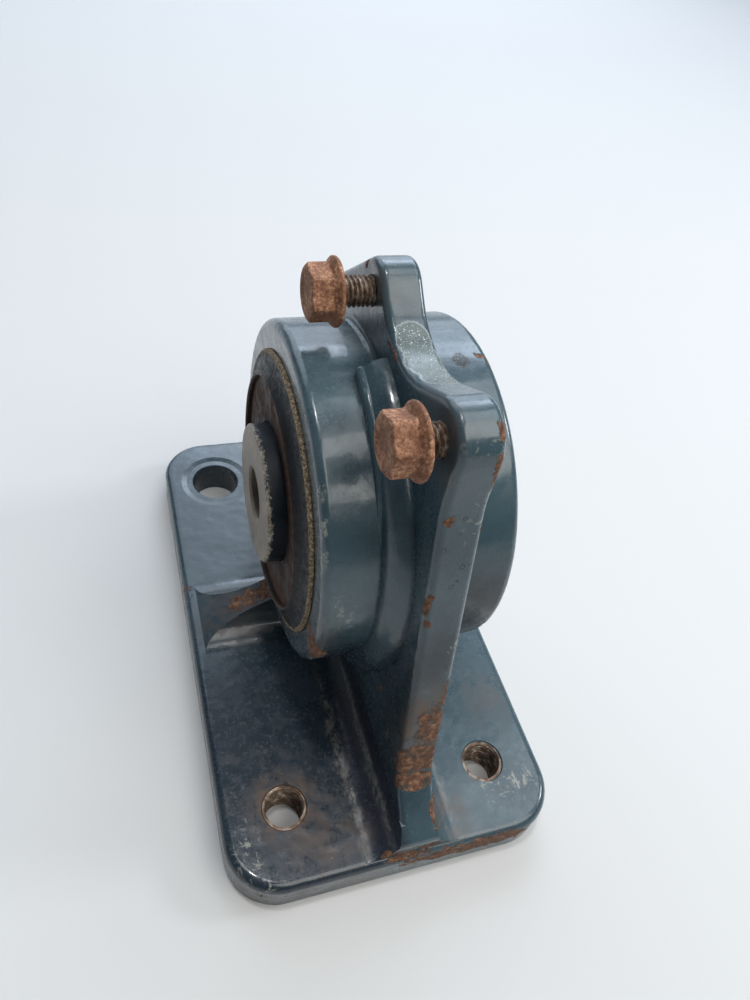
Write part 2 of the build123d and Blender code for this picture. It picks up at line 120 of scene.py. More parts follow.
def radiusFrom(add, coords, centre, flat):  # distance from an axis through centre; flat keeps two of the axes
    moved = add("VectorMath", [coords, [c * mm for c in centre]], operation="SUBTRACT")
    kept = add("VectorMath", [moved, flat], operation="MULTIPLY")
    return add("VectorMath", [kept], operation="LENGTH")


# Places, all from the frame

joints = {j["name"]: j for j in frame["joints"]}
axisPoint = [c / mm for c in joints["sleeve_spin"]["pos_m"]]
mounts = {m["name"]: m for m in frame["record"]["mounts"]}
frontHoles = mounts["front_base_holes"]
holeX = frontHoles["dims"]["spacing_x_mm"] / 2
holeY = -frontHoles["pos_m"][1] / mm
plateTop = 16.5  # mm
sleeveLow, sleeveHigh = [[c / mm for c in corner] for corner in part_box("sleeve")]
sleeveBore = mounts["sleeve_bore"]["dims"]["r_mm"]


# Materials

paint = {
    "lit": "#3d525a",
    "deep": "#2a3e47",
    "navy": "#191e2a",
    "primerAndRootShade": "#85877f",
    # painted shade along the left root fillet
    "rootShade": "#1f1e2b",
    # painted shade low down at the front
    "lowShade": "#12191c",
    # painted sheen on the top of the barrel's left half
    "paleTone": "#5c6f78",
    "dust": "#67645c",
    # dust and painted highlight along the root fillets' edges
    "rootDustAndHighlight": "#6f6c64",
    "stain": "#5a4331",
    "saddle": "#56615f",
    "saddleGrain": "#e6ecec",
    "saddleRim": "#b4bebe",
    "mark": "#1f2626",
    "markGrain": "#b4c0be",
    "blister": "#161b1f",
    "lip": "#4a3a30",
    "leftOnRust": "#343a38",
    "coat": 0.30,
    "coatRoughness": 0.08,
    "orangePeel": 1.1,  # mm, size of the ripples sprayed enamel dries with
    "castWave": 16.0,  # mm, size of the casting's own unevenness under the paint
}

rustPatches = [  # place, half sizes, strength
    ((9.4, -60.8, 178.6), (2.2, 3.6, 2.6), 0.9),  # right arris of the front lug
    ((9.6, -64.2, 168.0), (2.0, 2.4, 8.5), 1.0),
    ((10.2, -65.4, 152.0), (1.3, 2.0, 10.0), 0.75),
    ((-0.3, -65.0, 150.7), (1.7, 2.0, 2.2), 0.95),  # single spots down the web's front
    ((-2.6, -71.2, 121.0), (1.6, 2.0, 4.2), 1.0),
    ((-2.8, -73.0, 113.5), (0.9, 1.6, 2.0), 0.8),
    ((9.6, -80.5, 80.0), (1.8, 3.0, 9.0), 0.8),  # the foot
    ((6.4, -84.0, 66.0), (6.0, 3.4, 13.0), 0.76),
    ((3.0, -88.2, 50.5), (9.4, 4.2, 9.0), 0.92),
    ((3.2, -91.6, 39.5), (8.8, 4.0, 4.6), 1.05),
    ((9.9, -99.0, 29.5), (1.5, 8.0, 6.5), 0.9),  # right of the toe
    ((8.0, -108.6, 19.0), (4.2, 2.2, 2.6), 0.8),
    ((0.0, -108.8, 15.6), (9.0, 2.0, 1.9), 0.7),
    ((26.0, -110.3, 11.0), (30.0, 2.6, 4.8), 0.86),  # front edge of the plate
    ((52.0, -101.0, 13.0), (6.0, 7.0, 2.6), 0.55),
    ((-42.0, -106.5, 10.0), (14.0, 5.0, 2.2), 0.5),
    ((-8.5, -108.3, 18.9), (2.4, 1.8, 2.2), 1.0),
    ((-27.0, -53.2, 79.0), (3.6, 4.6, 9.0), 1.1),  # low chip on the barrel's left end
    ((-29.2, -49.6, 83.0), (1.2, 2.6, 6.0), 0.9),
    ((-40.0, 3.2, 26.6), (12.0, 5.8, 5.0), 0.66),  # rib
    ((-31.0, 3.2, 31.4), (5.5, 5.8, 4.2), 0.85),
    ((32.8, -1.6, 155.5), (1.7, 2.0, 1.4), 0.95),
    ((35.2, -4.0, 154.6), (1.0, 2.2, 1.4), 0.8),
    ((-3.3, -62.8, 56.0), (1.0, 1.3, 2.6), 0.9),
    ((-3.3, -76.5, 46.0), (1.0, 1.0, 6.0), 0.62),
    ((-2.6, 22.5, 177.0), (1.6, 5.0, 3.4), 0.72),
    ((-2.8, -12.0, 167.0), (1.2, 6.0, 2.2), 0.55),
    ((-61.0, 20.0, 14.0), (3.0, 10.0, 2.6), 0.45),
    ((61.0, 60.0, 13.0), (3.0, 16.0, 2.6), 0.55),  # sides that face away
    ((20.0, 110.3, 10.0), (26.0, 2.4, 3.4), 0.6),
    ((35.2, -50.0, 66.0), (2.2, 8.0, 9.0), 0.8),
    ((34.6, -56.5, 84.0), (1.2, 3.0, 7.0), 0.6),
    ((9.8, 84.0, 66.0), (1.6, 4.0, 12.0), 0.6),
    ((34.8, 50.0, 60.0), (2.0, 5.0, 7.0), 0.7),
]
stainPatches = [
    ((-40.0, -82.5, 16.5), (11.0, 11.0, 5.0), 1.0),
    ((-33.0, -90.0, 16.5), (12.0, 11.0, 5.0), 0.40),
    ((-26.5, -97.5, 16.5), (15.0, 9.0, 4.0), 0.42),
    ((52.0, -58.0, 16.5), (9.0, 12.0, 4.0), 0.30),
    ((18.0, -100.0, 17.0), (9.0, 9.0, 4.0), 0.45),
    ((-44.0, 2.0, 20.0), (16.0, 14.0, 9.0), 0.40),
    ((4.0, -84.0, 66.0), (9.0, 5.0, 24.0), 0.75),
    ((-28.0, -56.0, 84.0), (5.0, 6.0, 16.0), 0.35),
    ((-9.0, -52.4, 170.0), (12.0, 14.0, 14.0), 0.35),
    ((-9.0, 12.8, 171.9), (12.0, 14.0, 14.0), 0.40),
]
scuffPatches = [
    ((-28.6, -38.5, 138.5), (1.4, 2.4, 4.0), 0.8),
    ((-28.8, -45.6, 130.4), (1.5, 2.0, 5.0), 0.9),
    ((-28.9, -50.8, 121.8), (1.2, 1.8, 5.0), 0.7),
]
scratchPatches = [
    ((-55.5, -94.0, 16.5), (4.5, 12.0, 3.0), 0.9),
    ((-52.0, -106.0, 15.4), (7.0, 4.0, 3.0), 0.8),
    ((46.0, -93.0, 16.5), (12.0, 7.0, 3.0), 0.9),
    ((-22.0, -58.0, 102.0), (5.0, 4.0, 8.0), 0.75),
    ((8.0, -66.0, 148.0), (4.0, 4.0, 9.0), 0.55),
    ((8.6, -75.0, 106.0), (2.2, 4.0, 10.0), 0.8),
    ((4.0, -62.0, 176.0), (7.0, 4.0, 3.0), 0.5),
]
# Pale lines along the root fillets' edges: dust and painted highlight
rootPatches = [
    ((-15.5, -72.0, 16.8), (1.8, 38.0, 1.6), 0.75),
    ((-6.0, -74.0, 21.5), (1.3, 34.0, 2.2), 0.55),
    ((20.5, -88.0, 16.8), (1.4, 22.0, 1.6), 0.55),
]
# Painted shade along the left root fillet
rootShadePatches = [((-9.5, -76.0, 24.0), (8.5, 50.0, 9.0), 1.0)]
# Painted shade, low down on the web's front edge and the lower barrel
lowShadePatches = [
    ((4.0, -81.0, 78.0), (13.0, 20.0, 42.0), 0.85),
    ((24.0, -54.0, 84.0), (17.0, 24.0, 27.0), 1.0),
    ((-24.0, -44.0, 66.0), (14.0, 24.0, 16.0), 0.6),
]
# Painted sheen on the top of the barrel's left half
topSheenPatches = [
    ((-22.0, 2.0, 156.0), (13.0, 34.0, 14.0), 1.0),
    ((-20.0, -32.0, 146.0), (12.0, 16.0, 20.0), 0.8),
]
saddlePatches = [
    ((3.4, -10.5, 169.6), (5.6, 7.6, 4.6), 1.0),
    ((4.0, -19.5, 169.0), (6.2, 8.6, 4.6), 1.0),
    ((5.4, -28.5, 171.4), (6.0, 7.0, 5.0), 1.0),
]
markPatches = [((25.3, -3.3, 155.6), (2.9, 3.1, 3.0), 1.0)]
blisterPatches = [
    ((5.0, -68.0, 137.0), (6.5, 5.0, 13.0), 1.0),
    ((2.0, -64.0, 152.0), (5.0, 4.0, 5.0), 0.8),
    ((5.0, -84.0, 70.0), (8.0, 5.0, 12.0), 0.8),
]


def paintedCasting():
    # Enamel brushed and sprayed over an iron casting: glossy and a little rippled, chipped through to rust on
    # arrises, with dust on upward faces, dust and painted highlight along the roots, painted shade low down at the
    # front and along the left, a painted sheen on the barrel's top, and a rubbed, speckled saddle between the
    # lugs.
    material, add, coords = newMaterial("enamelledCastIron")
    ragged = wobble(add, coords, ((9.0, 2.6), (2.2, 0.9)))
    fineRagged = wobble(add, coords, ((2.5, 0.9), (0.8, 0.35)))
    place = add("SeparateXYZ", [coords]).node.outputs
    facing = add("SeparateXYZ", [add("NewGeometry").node.outputs["Normal"]]).node.outputs

    cloud = add("TexNoise", [coords, perMetre(55), 4, 0.55])
    mottle = add("TexNoise", [coords, perMetre(7), 5, 0.65])
    cloud = add("MapRange", [cloud, 0.35, 0.65], **smooth)
    body = add("Mix", [cloud, paint["deep"], paint["lit"]], **colours)
    patchy = add("MapRange", [mottle, 0.35, 0.75, 0.0, 0.2], **smooth)
    body = add("Mix", [patchy, body, paint["navy"]], **colours)

    # Painted shade: navy darkening low down on the left towards the front, where the plate and the web's left
    # fillets lie in shade
    leftSide = add("MapRange", [place["X"], 2 * mm, -14 * mm], **smooth)
    lowDown = add("MapRange", [place["Z"], 60 * mm, 20 * mm], **smooth)
    towardsFront = add("MapRange", [place["Y"], 6 * mm, -40 * mm], **smooth)
    shade = add("Math", [leftSide, lowDown], operation="MULTIPLY")
    shade = add("Math", [shade, towardsFront], operation="MULTIPLY")
    shade = add("Math", [shade, 0.72], operation="MULTIPLY")
    body = add("Mix", [shade, body, paint["navy"]], **colours)
    # Painted shade: a dark purplish band along the left root fillet, where the web's left side lies in shade
    primerAndRootShade = add("Math", [patchMask(add, ragged, rootShadePatches, 0.35), 0.8], operation="MULTIPLY")
    body = add("Mix", [primerAndRootShade, body, paint["rootShade"]], **colours)

    # Painted shade: darker, less glossy patches low on the web's front edge and on the lower barrel, where the
    # paint lies in shade
    uneven = add("TexNoise", [coords, perMetre(9), 5, 0.65])
    uneven = add("MapRange", [uneven, 0.25, 0.55, 0.55, 1.0], **smooth)
    lowShade = add("Math", [patchMask(add, ragged, lowShadePatches, 0.55), uneven], operation="MULTIPLY")
    lowShadeShare = add("Math", [lowShade, 0.88], operation="MULTIPLY")
    body = add("Mix", [lowShadeShare, body, paint["lowShade"]], **colours)
    # Painted sheen: a lighter blue-grey over the top of the barrel's left half, where the back light falls
    uneven = add("TexNoise", [coords, perMetre(11), 4, 0.6])
    uneven = add("MapRange", [uneven, 0.3, 0.62, 0.35, 1.0], **smooth)
    paleTone = add("Math", [patchMask(add, ragged, topSheenPatches, 0.5), uneven], operation="MULTIPLY")
    paleTone = add("Math", [paleTone, 0.42], operation="MULTIPLY")
    body = add("Mix", [paleTone, body, paint["paleTone"]], **colours)

    # Dust lies on upward faces; the pale streaky lines along the edges of the root fillets are dust and painted
    # highlight
    upward = add("MapRange", [facing["Z"], 0.5, 0.95], **smooth)
    grit = add("TexNoise", [coords, perMetre(1.3), 4, 0.7])
    grit = add("MapRange", [grit, 0.52, 0.72], **smooth)
    dusty = add("Math", [upward, grit], operation="MULTIPLY")
    dusty = add("Math", [dusty, 0.22], operation="MULTIPLY")
    body = add("Mix", [dusty, body, paint["dust"]], **colours)
    stretched = add("VectorMath", [coords, (1.0, 0.5, 1.0)], operation="MULTIPLY")
    streaky = add("TexNoise", [stretched, perMetre(1.2), 4, 0.7])
    streaky = add("MapRange", [streaky, 0.4, 0.62], **smooth)
    rootLine = add("Math", [patchMask(add, ragged, rootPatches, 0.5), streaky], operation="MULTIPLY")
    body = add("Mix", [rootLine, body, paint["rootDustAndHighlight"]], **colours)

    # Stains bleed out of holes and chips
    uneven = add("TexNoise", [coords, perMetre(5), 4, 0.65])
    uneven = add("MapRange", [uneven, 0.3, 0.62], **smooth)
    stain = add("Math", [patchMask(add, ragged, stainPatches, 0.6), uneven], operation="MULTIPLY")
    body = add("Mix", [stain, body, paint["stain"]], **colours)

    # Scuffs and scratches show the grey primer
    wandering = wobble(add, coords, ((6.0, 1.2),))
    stretched = add("VectorMath", [wandering, (1.0, 0.3, 0.7)], operation="MULTIPLY")
    scratchLines = add("TexNoise", [stretched, perMetre(1.5), 3, 0.6])
    scratchLines = add("MapRange", [scratchLines, 0.6, 0.64], **smooth)
    wandering = wobble(add, coords, ((6.0, 1.5),))
    stretched = add("VectorMath", [wandering, (0.35, 1.0, 0.6)], operation="MULTIPLY")
    crossLines = add("TexNoise", [stretched, perMetre(1.3), 3, 0.6])
    crossLines = add("MapRange", [crossLines, 0.62, 0.66], **smooth)
    lines = add("Math", [scratchLines, crossLines], operation="MAXIMUM")
    scratches = add("Math", [lines, patchMask(add, ragged, scratchPatches, 0.5)], operation="MULTIPLY")
    specks = add("TexNoise", [coords, perMetre(0.9), 2, 0.5])
    specks = add("MapRange", [specks, 0.735, 0.76], **smooth)
    specks = add("Math", [specks, 0.55], operation="MULTIPLY")
    uneven = add("TexNoise", [coords, perMetre(1.2), 3, 0.7])
    uneven = add("MapRange", [uneven, 0.42, 0.58], **smooth)
    scuffs = add("Math", [patchMask(add, fineRagged, scuffPatches, 0.4), uneven], operation="MULTIPLY")
    bare = add("Math", [scratches, scuffs], operation="MAXIMUM")
    bare = add("Math", [bare, specks], operation="MAXIMUM")
    body = add("Mix", [bare, body, paint["primerAndRootShade"]], **colours)

    # Saddle between the lugs: paint rubbed thin over sparkling grit
    saddle = patchMask(add, fineRagged, saddlePatches, 0.1)
    sparkle = add("TexVoronoi", {"Scale": perMetre(0.62), "Randomness": 1.0, "Vector": coords})
    sparkle = add("MapRange", [sparkle, 0.42, 0.16], **smooth)
    uneven = add("TexNoise", [coords, perMetre(1.5), 3, 0.7])
    uneven = add("MapRange", [uneven, 0.46, 0.58], **smooth)
    sparkle = add("Math", [sparkle, uneven], operation="MULTIPLY")
    rim = add("Math", [saddle, 0.5], operation="SUBTRACT")
    rim = add("Math", [rim], operation="ABSOLUTE")
    rim = add("MapRange", [rim, 0.5, 0.15], **smooth)
    rim = add("Math", [rim, 0.8], operation="MULTIPLY")
    saddleColour = add("Mix", [sparkle, paint["saddle"], paint["saddleGrain"]], **colours)
    saddleColour = add("Mix", [rim, saddleColour, paint["saddleRim"]], **colours)
    body = add("Mix", [saddle, body, saddleColour], **colours)

    # Round sparkling mark on the barrel's right half
    mark = patchMask(add, fineRagged, markPatches, 0.12)
    markColour = add("Mix", [sparkle, paint["mark"], paint["markGrain"]], **colours)
    body = add("Mix", [mark, body, markColour], **colours)

    # Blisters in the paint down the web's front, burst to dark rings
    swirled = wobble(add, coords, ((2.0, 0.6),))
    blister = add("TexVoronoi", {"Scale": perMetre(4.2), "Randomness": 1.0, "Vector": swirled})
    blister = add("Math", [blister, 0.2], operation="SUBTRACT")
    blister = add("Math", [blister], operation="ABSOLUTE")
    blister = add("MapRange", [blister, 0.075, 0.02], **smooth)
    blisterArea = patchMask(add, ragged, blisterPatches, 0.4)
    blisterArea = add("MapRange", [blisterArea, 0.4, 0.8], **smooth)
    blister = add("Math", [blister, blisterArea], operation="MULTIPLY")
    blisterShare = add("Math", [blister, 0.8], operation="MULTIPLY")
    body = add("Mix", [blisterShare, body, paint["blister"]], **colours)

    # Rust, where the paint has gone altogether
    rustField = patchMask(add, ragged, rustPatches, 0.45)
    rustBreak = add("TexNoise", [coords, perMetre(3.2), 5, 0.68])
    rustBreak = add("MapRange", [rustBreak, 0.25, 0.75, -0.42, 0.42], **smooth)
    nearRust = add("MapRange", [rustField, 0.0, 0.35], **smooth)
    rustBreak = add("Math", [rustBreak, nearRust], operation="MULTIPLY")
    rustEdge = add("Math", [rustField, rustBreak], operation="ADD")
    rust = add("MapRange", [rustEdge, 0.48, 0.62], **smooth)
    lip = add("MapRange", [rustEdge, 0.36, 0.52], **smooth)
    rustTone = add("TexNoise", [coords, perMetre(1.9), 5, 0.7])
    rustColour = add("ValToRGB", [rustTone], stops=(
        (0.28, "#2a1b15"), (0.42, "#523728"), (0.54, "#74503a"), (0.66, "#8f6f54"), (0.8, "#a8957c")))
    leftPaint = add("TexNoise", [coords, perMetre(4.5), 4, 0.6])
    leftPaint = add("MapRange", [leftPaint, 0.52, 0.66, 0.0, 0.75], **smooth)
    rustColour = add("Mix", [leftPaint, rustColour, paint["leftOnRust"]], **colours)
    lipShare = add("Math", [lip, 0.55], operation="MULTIPLY")
    body = add("Mix", [lipShare, body, paint["lip"]], **colours)
    body = add("Mix", [rust, body, rustColour], **colours)

    # Dust, stains, rust and bare primer are duller than the enamel
    dull = add("MapRange", [mottle, 0.3, 0.8, 0.21, 0.37], **smooth)
    for cause, share, way in ((dusty, 1.2, "ADD"), (stain, 0.25, "ADD"), (rust, 0.88, "MAXIMUM"),
                              (bare, 0.6, "MAXIMUM")):
        part = add("Math", [cause, share], operation="MULTIPLY")
        dull = add("Math", [dull, part], operation=way)
    gone = rust
    for cause, share in ((saddle, 1.0), (mark, 1.0), (stain, 0.6), (lowShade, 0.8)):
        part = add("Math", [cause, share], operation="MULTIPLY")
        gone = add("Math", [gone, part], operation="MAXIMUM")

    normal = None
    for size, detail, rough, depth in ((paint["castWave"], 2, 0.5, 0.55), (4.0, 3, 0.6, 0.09),
                                       (paint["orangePeel"], 2, 0.5, 0.012)):
        wave = add("TexNoise", [coords, perMetre(size), detail, rough])
        normal = add("Bump", {"Height": wave, "Distance": depth * mm, "Normal": normal})
    grainy = add("Math", [saddle, mark], operation="MAXIMUM")
    grainy = add("Math", [sparkle, grainy], operation="MULTIPLY")
    relief = add("Math", [grainy, lip], operation="SUBTRACT")
    pits = add("TexNoise", [coords, perMetre(0.9), 4, 0.7])
    pits = add("Math", [pits, rust], operation="MULTIPLY")
    for height, depth in ((relief, 0.16), (blister, -0.12), (pits, 0.5)):
        normal = add("Bump", {"Height": height, "Distance": depth * mm, "Normal": normal})
    surface = add("BsdfPrincipled", {
        "Base Color": body,
        "Roughness": dull,
        "Coat Weight": add("MapRange", [gone, 0.0, 1.0, paint["coat"], 0.0], **smooth),
        "Coat Roughness": paint["coatRoughness"],
        "IOR": 1.5,
        "Normal": normal,
    })
    add("OutputMaterial", [surface])
    return material


rustyBolt = {
    "dark": "#40271c",
    "body": "#875a41",
    "light": "#b88c6d",
    "paleTone": "#dcc3ab",
    "blot": "#61371f",
    "spot": "#291913",
    "pit": 1.4,  # mm
}


def rustedSteel():
    # Plain steel left out in the weather: an even orange-brown crust, matt and grainy, paler where it is dry
    material, add, coords = newMaterial("rustedBoltSteel")
    grain = add("TexNoise", [coords, perMetre(1.1), 5, 0.72])
    colour = add("ValToRGB", [grain], stops=(
        (0.28, rustyBolt["dark"]), (0.46, rustyBolt["body"]),
        (0.6, rustyBolt["light"]), (0.76, rustyBolt["paleTone"])))
    blot = add("TexNoise", [coords, perMetre(5.5), 4, 0.6])
    blot = add("MapRange", [blot, 0.42, 0.62, 0.0, 0.6], **smooth)
    colour = add("Mix", [blot, colour, rustyBolt["blot"]], **colours)
    spot = add("TexNoise", [coords, perMetre(2.6), 3, 0.6])
    spot = add("MapRange", [spot, 0.6, 0.72, 0.0, 0.6], **smooth)
    colour = add("Mix", [spot, colour, rustyBolt["spot"]], **colours)
    pits = add("TexNoise", [coords, perMetre(rustyBolt["pit"]), 5, 0.7])
    normal = add("Bump", {"Height": pits, "Distance": 0.28 * mm})
    normal = add("Bump", {"Height": grain, "Distance": 0.12 * mm, "Normal": normal})
    surface = add("BsdfPrincipled", {
        "Base Color": colour,
        "Roughness": add("MapRange", [grain, 0.3, 0.7, 0.62, 0.9], **smooth),
        "Metallic": 0.15,
        "Normal": normal,
    })
    add("OutputMaterial", [surface])
    return material


def threadSteel():
    # Cut thread with brown film in its roots and metal showing on its crests
    material, add, coords = newMaterial("filmedThreadSteel")
    film = add("TexNoise", [coords, perMetre(2.8), 4, 0.65])
    colour = add("ValToRGB", [film], stops=((0.3, "#3a2d25"), (0.5, "#6d5a4b"), (0.68, "#a79c8f")))
    leftFront = patchMask(add, coords, [((-holeX, -holeY, 8.0), (26.0, 26.0, 26.0), 1.0)], 0.2)
    browner = add("Math", [leftFront, 0.3], operation="MULTIPLY")
    colour = add("Mix", [browner, colour, "#76604e"], **colours)
    fine = add("TexNoise", [coords, perMetre(0.8), 3, 0.6])
    surface = add("BsdfPrincipled", {
        "Base Color": colour,
        "Metallic": 0.55,
        "Roughness": add("MapRange", [film, 0.3, 0.7, 0.65, 0.35], **smooth),
        "Normal": add("Bump", {"Height": fine, "Distance": 0.05 * mm}),
    })
    add("OutputMaterial", [surface])
    return material


sleeveFinish = {
    "bare": "#9a8f7f",
    "film": "#6c5d4f",
    "ringMark": "#8b867b",
    "brown": "#5c4838",
    "paint": "#131920",
    "thinPaint": "#1a222a",
    "edge": "#b4b6ad",
    "foot": "#6d5847",
    "boreWall": "#6b6358",
    "endRadius": 25.0,  # mm, of the end that stands out
    "footReach": 29.0,  # mm along the axis to where the end meets the bearing's shield
}


def sleeveSteel():
    # Turned steel tube: faced bare ends with fine rings, and sides that caught the dark paint,
    # which has flaked into a pale ragged line round each end's edge.
    material, add, coords = newMaterial("turnedSleeveSteel")
    halfLength = (sleeveHigh[0] - sleeveLow[0]) / 2
    endRadius = sleeveFinish["endRadius"]
    footReach = sleeveFinish["footReach"]
    radius = radiusFrom(add, coords, axisPoint, (0, 1, 1))
    acrossAxis = add("SeparateXYZ", [coords]).node.outputs["X"]
    along = add("Math", [acrossAxis, axisPoint[0] * mm], operation="SUBTRACT")
    along = add("Math", [along], operation="ABSOLUTE")
    ragged = add("TexNoise", [coords, perMetre(1.6), 4, 0.7])
    ragged = add("MapRange", [ragged, 0.2, 0.8, -1.1 * mm, 1.1 * mm], **smooth)
    depth = add("Math", [along, ragged], operation="ADD")
    side = add("MapRange", [depth, (halfLength - 0.8) * mm, (halfLength - 1.3) * mm], **smooth)
    inBore = add("MapRange", [radius, (sleeveBore + 1.3) * mm, (sleeveBore + 0.6) * mm], **smooth)
    outside = add("Math", [1.0, inBore], operation="SUBTRACT")
    painted = add("Math", [side, outside], operation="MULTIPLY")

    blot = add("TexNoise", [coords, perMetre(6.0), 4, 0.65])
    filmShare = add("MapRange", [blot, 0.38, 0.66], **smooth)
    metal = add("Mix", [filmShare, sleeveFinish["film"], sleeveFinish["bare"]], **colours)
    rings = add("TexNoise", [radius, perMetre(0.45), 3.0], noise_dimensions="1D")
    ringShare = add("MapRange", [rings, 0.35, 0.7, 0.0, 0.35], **smooth)
    metal = add("Mix", [ringShare, metal, sleeveFinish["ringMark"]], **colours)
    brown = add("TexNoise", [coords, perMetre(3.0), 4, 0.6])
    brown = add("MapRange", [brown, 0.58, 0.7, 0.0, 0.7], **smooth)
    metal = add("Mix", [brown, metal, sleeveFinish["brown"]], **colours)
    thin = add("TexNoise", [coords, perMetre(4.0), 4, 0.6])
    thin = add("MapRange", [thin, 0.3, 0.7], **smooth)
    coat = add("Mix", [thin, sleeveFinish["paint"], sleeveFinish["thinPaint"]], **colours)

    nearEnd = add("MapRange", [depth, (halfLength - 2.0) * mm, (halfLength - 1.0) * mm], **smooth)
    nearEdge = add("MapRange", [radius, (endRadius - 0.6) * mm, (endRadius - 0.1) * mm], **smooth)
    edge = add("Math", [nearEnd, nearEdge], operation="MULTIPLY")
    flake = add("TexNoise", [coords, perMetre(1.1), 5, 0.75])
    flake = add("MapRange", [flake, 0.5, 0.6], **smooth)
    flake = add("Math", [edge, flake], operation="MULTIPLY")
    foot = add("MapRange", [along, (footReach + 0.4) * mm, (footReach - 0.4) * mm], **smooth)
    foot = add("Math", [foot, painted], operation="MULTIPLY")
    boreShare = add("Math", [inBore, 0.75], operation="MULTIPLY")
    colour = add("Mix", [painted, metal, coat], **colours)
    colour = add("Mix", [foot, colour, sleeveFinish["foot"]], **colours)
    colour = add("Mix", [flake, colour, sleeveFinish["edge"]], **colours)
    colour = add("Mix", [boreShare, colour, sleeveFinish["boreWall"]], **colours)

    roughness = add("MapRange", [blot, 0.3, 0.7, 0.34, 0.55], **smooth)
    flakeShare = add("Math", [flake, 0.4], operation="MULTIPLY")
    roughness = add("Math", [roughness, flakeShare], operation="ADD", use_clamp=True)
    layer = add("Math", [flake, 0.8], operation="MULTIPLY")
    layer = add("Math", [painted, layer], operation="ADD")
    fine = add("TexNoise", [coords, perMetre(1.2), 4, 0.6])
    normal = None
    for height, relief in ((rings, 0.03), (layer, 0.12), (fine, 0.05)):
        normal = add("Bump", {"Height": height, "Distance": relief * mm, "Normal": normal})
    surface = add("BsdfPrincipled", {
        "Base Color": colour,
        "Metallic": add("MapRange", [painted, 0.0, 1.0, 0.12, 0.0], **smooth),
        "Specular IOR Level": 0.3,
        "Roughness": roughness,
        "Normal": normal,
    })
    add("OutputMaterial", [surface])
    return material


def ringPaint():
    # Bearing ring under thin dark overspray, with dry radial streaks of dust and a browned inner edge
    material, add, coords = newMaterial("oversprayedRingSteel")
    landRadius = 43.3  # mm, where the ring's face drops to the shield
    radius = radiusFrom(add, coords, axisPoint, (0, 1, 1))
    thin = add("TexNoise", [coords, perMetre(9.0), 4, 0.55])
    thin = add("MapRange", [thin, 0.3, 0.7], **smooth)
    colour = add("Mix", [thin, "#0f1216", "#1b2025"], **colours)
    streak = add("TexNoise", [coords, perMetre(2.0), 5, 0.7])
    dust = add("MapRange", [streak, 0.58, 0.7, 0.0, 0.4], **smooth)
    colour = add("Mix", [dust, colour, "#463f38"], **colours)
    ragged = add("MapRange", [streak, 0.2, 0.8, -0.7 * mm, 0.7 * mm], **smooth)
    inner = add("Math", [radius, ragged], operation="ADD")
    inner = add("MapRange", [inner, (landRadius + 0.6) * mm, (landRadius - 0.6) * mm], **smooth)
    colour = add("Mix", [inner, colour, "#36241b"], **colours)
    lumps = add("TexNoise", [coords, perMetre(5.0), 3, 0.6])
    normal = add("Bump", {"Height": lumps, "Distance": 0.18 * mm})
    normal = add("Bump", {"Height": streak, "Distance": 0.06 * mm, "Normal": normal})
    surface = add("BsdfPrincipled", {
        "Base Color": colour,
        "Roughness": add("MapRange", [streak, 0.35, 0.7, 0.34, 0.72], **smooth),
        "Specular IOR Level": 0.22,
        "Normal": normal,
    })
    add("OutputMaterial", [surface])
    return material


def shieldRust():
    # Pressed steel plate with an even brown rust, with painted shade darkening it towards the sleeve, in the
    # recess's corner
    material, add, coords = newMaterial("rustedShieldSteel")
    shadeStarts, shadeDeepest = 31, 26  # mm from the axis
    radius = radiusFrom(add, coords, axisPoint, (0, 1, 1))
    grain = add("TexNoise", [coords, perMetre(1.4), 5, 0.7])
    blot = add("TexNoise", [coords, perMetre(8.0), 4, 0.6])
    colour = add("ValToRGB", [grain], stops=(
        (0.3, "#1c120d"), (0.48, "#3a251c"), (0.62, "#553a2c"), (0.78, "#6f5644")))
    dark = add("MapRange", [blot, 0.45, 0.65, 0.0, 0.7], **smooth)
    colour = add("Mix", [dark, colour, "#2c2320"], **colours)
    # Painted shade: darker towards the sleeve, in the corner of the recess
    sleeveShade = add("MapRange", [radius, shadeStarts * mm, shadeDeepest * mm, 0.0, 0.75], **smooth)
    colour = add("Mix", [sleeveShade, colour, "#1b1612"], **colours)
    normal = add("Bump", {"Height": grain, "Distance": 0.16 * mm})
    normal = add("Bump", {"Height": blot, "Distance": 0.3 * mm, "Normal": normal})
    surface = add("BsdfPrincipled", {
        "Base Color": colour,
        "Roughness": add("MapRange", [blot, 0.35, 0.65, 0.85, 0.5], **smooth),
        "Specular IOR Level": 0.22,
        "Normal": normal,
    })
    add("OutputMaterial", [surface])
    return material


def crustFibre(name, low, high):
    # Dried sealing compound: brittle fibres the colour of old straw over black cracks
    material, add, coords = newMaterial(name)
    tone = add("TexNoise", [coords, perMetre(0.8), 4, 0.7])
    surface = add("BsdfPrincipled", {
        "Base Color": add("ValToRGB", [tone], stops=((0.3, "#1e1812"), (0.46, low), (0.66, high))),
        "Roughness": 0.9,
        "Normal": add("Bump", {"Height": tone, "Distance": 0.15 * mm}),
    })
    add("OutputMaterial", [surface])
    return material


def groundSteel(name, base, stain, roughness):
    # Ground bearing steel: bright, with fine turning marks round the axis and a thin film of old grease
    material, add, coords = newMaterial(name)
    radius = radiusFrom(add, coords, axisPoint, (0, 1, 1))
    rings = add("TexNoise", [radius, perMetre(0.35), 3.0], noise_dimensions="1D")
    film = add("TexNoise", [coords, perMetre(6.0), 4, 0.6])
    stained = add("MapRange", [film, 0.52, 0.72, 0.0, 0.7], **smooth)
    surface = add("BsdfPrincipled", {
        "Base Color": add("Mix", [stained, base, stain], **colours),
        "Metallic": 1.0,
        "Roughness": add("MapRange", [film, 0.3, 0.7, roughness, roughness + 0.2], **smooth),
        "Normal": add("Bump", {"Height": rings, "Distance": 0.008 * mm}),
    })
    add("OutputMaterial", [surface])
    return material


